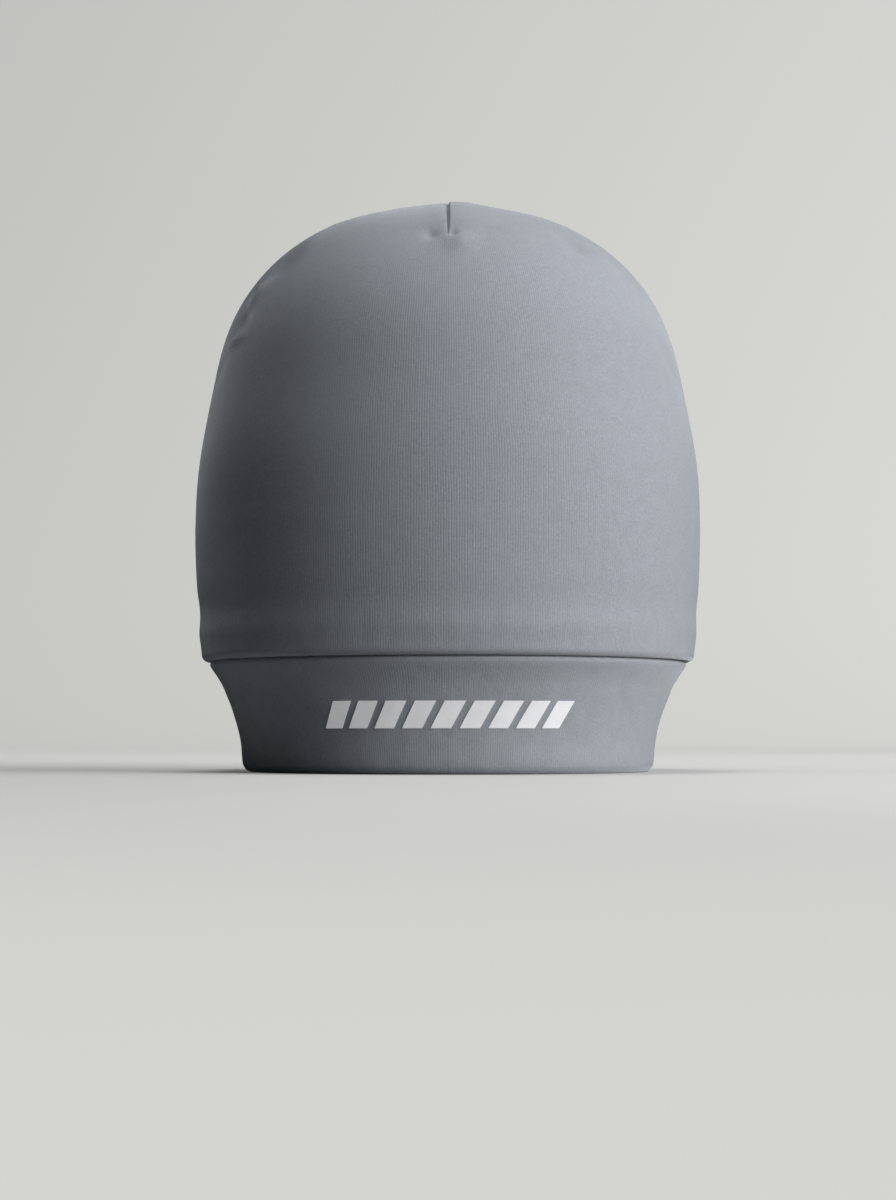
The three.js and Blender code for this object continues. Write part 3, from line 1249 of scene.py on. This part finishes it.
@dataclass
class Print:
    """A row of slanted bars of thin film on the front of the band."""

    bars: int = 9
    pitch: float = 7.6 * MM
    bar_width: float = 5.4 * MM
    bar_height: float = 8.4 * MM
    slant: float = 24.0
    film: float = 0.26 * MM
    lift: float = 0.03 * MM
    centre_height: float = 18.5 * MM
    bend_radius: float = 71 * MM
    bar_columns: int = 6
    bar_rows: int = 9
    ray_start: float = 0.2
    ray_length: float = 0.3

    def build(self, band: bpy.types.Object, finish: bpy.types.Material) -> bpy.types.Object:
        """Lay the bars on the band with geometry nodes.

        Args:
            band: the band's finished piece, which the film follows.
            finish: the film's material.

        Returns:
            The print's piece.
        """
        values = {
            "Cloth": band,
            "Bars": self.bars,
            "Pitch": self.pitch,
            "Bar Width": self.bar_width,
            "Bar Height": self.bar_height,
            "Slant": math.tan(math.radians(self.slant)),
            "Film": self.film,
            "Lift": self.lift,
            "Centre Height": self.centre_height,
            "Bend Radius": self.bend_radius,
            "Finish": finish,
        }
        return grown("band_print", self._tree(values), values)

    def _tree(self, values: Mapping[str, Any]) -> bpy.types.GeometryNodeTree:
        """Make the geometry nodes that lay a row of bars on the cloth.

        Args:
            values: the value of each named input.

        Returns:
            The group of nodes.
        """
        web = growing("bars_on_cloth", values)
        inlet = web.add("NodeGroupInput").outputs
        first = web.product(web.less(inlet["Bars"], 1), inlet["Pitch"], -0.5)
        ends = {"Start Location": web.point(first), "Offset": web.point(inlet["Pitch"])}
        line = web.one("GeometryNodeMeshLine", {"Count": inlet["Bars"], **ends})
        across = {"Size X": inlet["Bar Width"], "Vertices X": self.bar_columns}
        up = {"Size Y": inlet["Bar Height"], "Vertices Y": self.bar_rows}
        bar = web.add("GeometryNodeMeshGrid", {**across, **up}).outputs["Mesh"]
        row = web.one("GeometryNodeInstanceOnPoints", {"Points": line, "Instance": bar})
        flat = web.one("GeometryNodeRealizeInstances", {"Geometry": row})
        raising = {"Mesh": flat, "Offset Scale": inlet["Film"], "Individual": False}
        raised = web.add("GeometryNodeExtrudeMesh", raising).outputs["Mesh"]
        both = web.add("GeometryNodeJoinGeometry")
        for sheet in (raised, web.one("GeometryNodeFlipFaces", {"Mesh": flat})):
            web.tree.links.new(sheet, both.inputs[0])
        welding = {"Geometry": both.outputs[0], "Distance": WELD}
        closed = web.one("GeometryNodeMergeByDistance", welding)
        on_bar = web.parts(web.one("GeometryNodeInputPosition"))
        leaning = web.total(on_bar["X"], web.product(on_bar["Y"], inlet["Slant"]))
        azimuth = web.math("DIVIDE", leaning, inlet["Bend Radius"])
        sine, cosine = web.math("SINE", azimuth), web.math("COSINE", azimuth)
        height = web.total(on_bar["Y"], inlet["Centre Height"])
        source = web.point(
            web.product(sine, self.ray_start), web.product(cosine, -self.ray_start), height
        )
        cloth = web.add("GeometryNodeObjectInfo", {"Object": inlet["Cloth"]}).outputs["Geometry"]
        ray = web.add(
            "GeometryNodeRaycast",
            {
                "Target Geometry": cloth,
                "Source Position": source,
                "Ray Direction": web.point(web.product(sine, -1.0), cosine),
                "Ray Length": self.ray_length,
            },
        ).outputs
        proud = {0: ray["Hit Normal"], "Scale": web.total(on_bar["Z"], inlet["Lift"])}
        outward = web.one("ShaderNodeVectorMath", proud, operation="SCALE")
        hit = {0: ray["Hit Position"], 1: outward}
        landed = web.one("ShaderNodeVectorMath", hit, operation="ADD")
        laid = web.one("GeometryNodeSetPosition", {"Geometry": closed, "Position": landed})
        web.dressed(laid, inlet["Finish"])
        return web.tree


def grown(
    name: str, tree: bpy.types.GeometryNodeTree, values: Mapping[str, Any]
) -> bpy.types.Object:
    """Run a tree of geometry nodes and keep its result as a plain mesh.

    Args:
        name: the new piece's name.
        tree: the geometry nodes.
        values: the value of each named input.

    Returns:
        The piece, with no modifier left on it.
    """
    host = placed(name + "_host", bpy.data.meshes.new(name + "_seed"))
    modifier = host.modifiers.new("grow", "NODES")
    modifier.node_group = tree
    for item in tree.interface.items_tree:
        if item.item_type == "SOCKET" and item.in_out == "INPUT" and item.name in values:
            modifier[item.identifier] = values[item.name]
    graph = bpy.context.evaluated_depsgraph_get()
    graph.update()
    mesh = bpy.data.meshes.new_from_object(host.evaluated_get(graph), depsgraph=graph)
    host.modifiers.remove(modifier)
    bpy.data.objects.remove(host)
    mesh.name = name
    return placed(name, mesh)


@dataclass(frozen=True)
class Lamp:
    """One rectangular soft light."""

    name: str
    place: Place
    target: Place
    size: float
    power: float
    colour: Colour = (1.0, 1.0, 1.0)
    spread: float = 180.0

    def build(self) -> None:
        """Add the light to the scene."""
        lamp = bpy.data.lights.new(self.name, "AREA")
        lamp.shape = "SQUARE"
        lamp.size = self.size
        lamp.energy = self.power
        lamp.color = self.colour
        lamp.spread = math.radians(self.spread)
        light = placed(self.name, lamp)
        light.location = self.place
        facing = Vector(self.target) - Vector(self.place)
        light.rotation_euler = facing.to_track_quat("-Z", "Y").to_euler()


@dataclass
class Studio:
    """The pale floor, the soft light and the camera."""

    floor_radius: float = 2.6
    wall_radius: float = 3.6
    wall_height: float = 3.4
    floor_rings: int = 12
    bend_rings: int = 16
    floor_columns: int = 96
    camera_distance: float = 0.950
    camera_height: float = 0.012
    camera_pitch: float = 2.75
    focal_pixels: float = 2823.0
    picture_height: int = 1200
    sensor: float = 36.0
    ambient: float = 0.008
    # The floor's glow is painted light standing in for lamp light; its side, height and pool
    # settings paint it lighter to the right, darker high on the wall and lighter in front of the
    # camera.
    floor_glow: float = 0.10
    wall_glow: float = 0.61
    lit_radius: float = 0.3
    glow_radius: float = 0.85
    glow_reach: float = 0.82
    painted_pool_strength: float = 0.07
    painted_pool_radius: float = 0.3
    glow_tint: Colour = (1.0, 1.0, 0.965)
    side_span: float = 0.75
    painted_side_light: tuple[float, float] = (0.87, 1.09)
    upper_span: tuple[float, float] = (0.2, 1.3)
    painted_upper_shade: float = 0.94
    paint_share: float = 0.46
    near_bounce: float = 0.33
    far_bounce: float = 0.12
    bounce_span: tuple[float, float] = (0.12, 0.32)
    lamps: tuple[Lamp, ...] = (
        Lamp("key_light", (0.98, -0.42, 0.30), (0.0, 0.0, 0.10), 0.9, 11.3, (1.0, 0.99, 0.97)),
        Lamp("front_light", (0.75, -0.85, 0.45), (0.0, 0.0, 0.10), 0.5, 8.8),
        Lamp("top_light", (-0.08, -0.06, 1.25), (0.0, 0.0, 0.15), 0.5, 7.9),
        Lamp("side_light", (1.1, 0.1, 0.35), (0.0, 0.0, 0.10), 0.7, 3.5, (1.0, 0.99, 0.97)),
        Lamp("edge_light", (-1.0, 0.75, 0.25), (0.0, 0.0, 0.10), 0.7, 0.4),
        Lamp("rear_light", (0.25, 1.3, 0.75), (0.0, 0.0, 0.12), 0.8, 0.35, (1.0, 1.0, 1.0), 50.0),
    )

    def build(self) -> None:
        """Set up the floor, the lights, the surroundings and the camera."""
        self._floor()
        for lamp in self.lamps:
            lamp.build()
        self._surroundings()
        self._camera()

    def _floor(self) -> None:
        """Make the seamless floor and wall as one bowl, which glossy rays don't see."""
        rings, bends = self.floor_rings, self.bend_rings
        profile = [(self.floor_radius * k / rings, 0.0) for k in range(1, rings + 1)]
        bend = self.wall_radius - self.floor_radius
        for k in range(1, bends + 1):
            turn = QUARTER * k / bends
            profile.append((self.floor_radius + bend * math.sin(turn), bend * (1 - math.cos(turn))))
        profile.append((self.wall_radius, self.wall_height))
        columns = self.floor_columns
        points = [(0.0, 0.0, 0.0)]
        for radius, height in profile:
            for k in range(columns):
                turn = math.tau * k / columns
                points.append((radius * math.cos(turn), radius * math.sin(turn), height))
        faces = [(0, 1 + k, 1 + (k + 1) % columns) for k in range(columns)]
        for row in range(len(profile) - 1):
            start = 1 + row * columns
            for k in range(columns):
                a, b = start + k, start + (k + 1) % columns
                faces.append((a, a + columns, b + columns, b))
        mesh = bpy.data.meshes.new("floor")
        mesh.from_pydata(points, [], faces)
        mesh.polygons.foreach_set("use_smooth", [True] * len(faces))
        mesh.update()
        floor = placed("floor", mesh)
        mesh.materials.append(self._floor_paint())
        floor.visible_glossy = False

    def _floor_paint(self) -> bpy.types.Material:
        """Make the pale paint, which glows with painted light where the lamps reach it less.

        Returns:
            The paint. Only the camera sees the glow. Light that bounces off the floor meets a
            darker paint, near the cap and away from it.
        """
        material, web = new_material("pale_floor")
        place = web.parts(web.add("ShaderNodeTexCoord").outputs["Object"])
        x, y = place["X"], place["Y"]
        away = web.math("SQRT", web.total(web.product(x, x), web.product(y, y)))
        behind = web.math("MAXIMUM", y, 0.0)
        unlit = web.ranged(web.less(away, behind), self.lit_radius, self.glow_radius)
        lit = web.less(1.0, unlit)
        fade = web.math("EXPONENT", web.product(behind, -1.0 / self.glow_reach))
        far = web.less(1.0, web.product(fade, lit))
        from_camera = web.total(y, self.camera_distance)
        square = web.total(web.product(from_camera, from_camera), web.product(x, x))
        patch = web.math("EXPONENT", web.product(square, -1.0 / self.painted_pool_radius**2))
        # Painted light: the glow fills in for lamp light, painted lighter to the right, darker high
        # on the wall, with a painted pool of light in front of the camera.
        glow = web.product(
            web.total(
                self.floor_glow,
                web.product(far, self.wall_glow - self.floor_glow),
                web.product(patch, self.painted_pool_strength),
            ),
            web.ranged(x, -self.side_span, self.side_span, *self.painted_side_light, Curve.STRAIGHT),
            web.ranged(place["Z"], *self.upper_span, 1.0, self.painted_upper_shade, Curve.STRAIGHT),
        )
        watched = web.add("ShaderNodeLightPath").outputs["Is Camera Ray"]
        bounced = web.ranged(away, *self.bounce_span, self.near_bounce, self.far_bounce)
        shown = web.product(lit, self.paint_share)
        paint = web.ranged(watched, 0.0, 1.0, bounced, shown, Curve.STRAIGHT)
        web.surface(
            {
                "Base Color": web.point(paint, paint, paint),
                "Roughness": 0.9,
                "Specular IOR Level": 0.0,
                "Emission Color": web.tinted(glow, self.glow_tint),
                "Emission Strength": watched,
            }
        )
        return material

    def _surroundings(self) -> None:
        """Give the scene a dim, even surrounding light and plain colour handling."""
        world = bpy.data.worlds.new("surroundings")
        world.use_nodes = True
        backdrop = world.node_tree.nodes["Background"]
        backdrop.inputs["Color"].default_value = (0.98, 0.99, 1.0, 1.0)
        backdrop.inputs["Strength"].default_value = self.ambient
        bpy.context.scene.world = world
        bpy.context.scene.view_settings.view_transform = "Standard"

    def _camera(self) -> None:
        """Stand the camera just above the floor, in front of the cap."""
        lens = bpy.data.cameras.new("camera")
        lens.sensor_fit = "AUTO"
        lens.sensor_width = self.sensor
        lens.lens = self.focal_pixels * lens.sensor_width / self.picture_height
        lens.clip_start = 0.01
        lens.clip_end = 50.0
        camera = placed("camera", lens)
        camera.location = (0.0, -self.camera_distance, self.camera_height)
        camera.rotation_euler = (math.radians(90 + self.camera_pitch), 0.0, 0.0)
        bpy.context.scene.camera = camera


def main() -> None:
    """Build the floor and the light, then the crown, the band and its print."""
    logging.basicConfig(level=logging.INFO, format="%(name)s: %(message)s")
    Studio().build()
    stitches = Stitches().group()
    face = KnitFinish("crown_knit", (0.231, 0.2495, 0.277)).material(stitches)
    back = KnitFinish("crown_knit_back", (0.25, 0.267, 0.292), relief=0.05 * MM).material(stitches)
    # The band's knit is a little lighter than the crown's: painted light, standing in for light
    # that the floor bounces up onto it.
    folded = KnitFinish("band_knit", (0.238, 0.256, 0.282), wale_width=0.98 * MM).material(stitches)

    form = CapForm()
    crown = Crown(form, Darts()).build()
    crown.data.materials.append(face)
    crown.data.materials.append(back)
    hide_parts("crown")
    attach(crown, "root")
    LOG.info("crown: %d faces", len(crown.data.polygons))

    band = Band(form).build(folded)
    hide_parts("band")
    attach(band, "root")
    LOG.info("band: %d faces", len(band.data.polygons))

    film = Print().build(band, FilmFinish().material())
    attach(film, "root")
    LOG.info("print: %d faces", len(film.data.polygons))


if __name__ == "__main__":
    main()
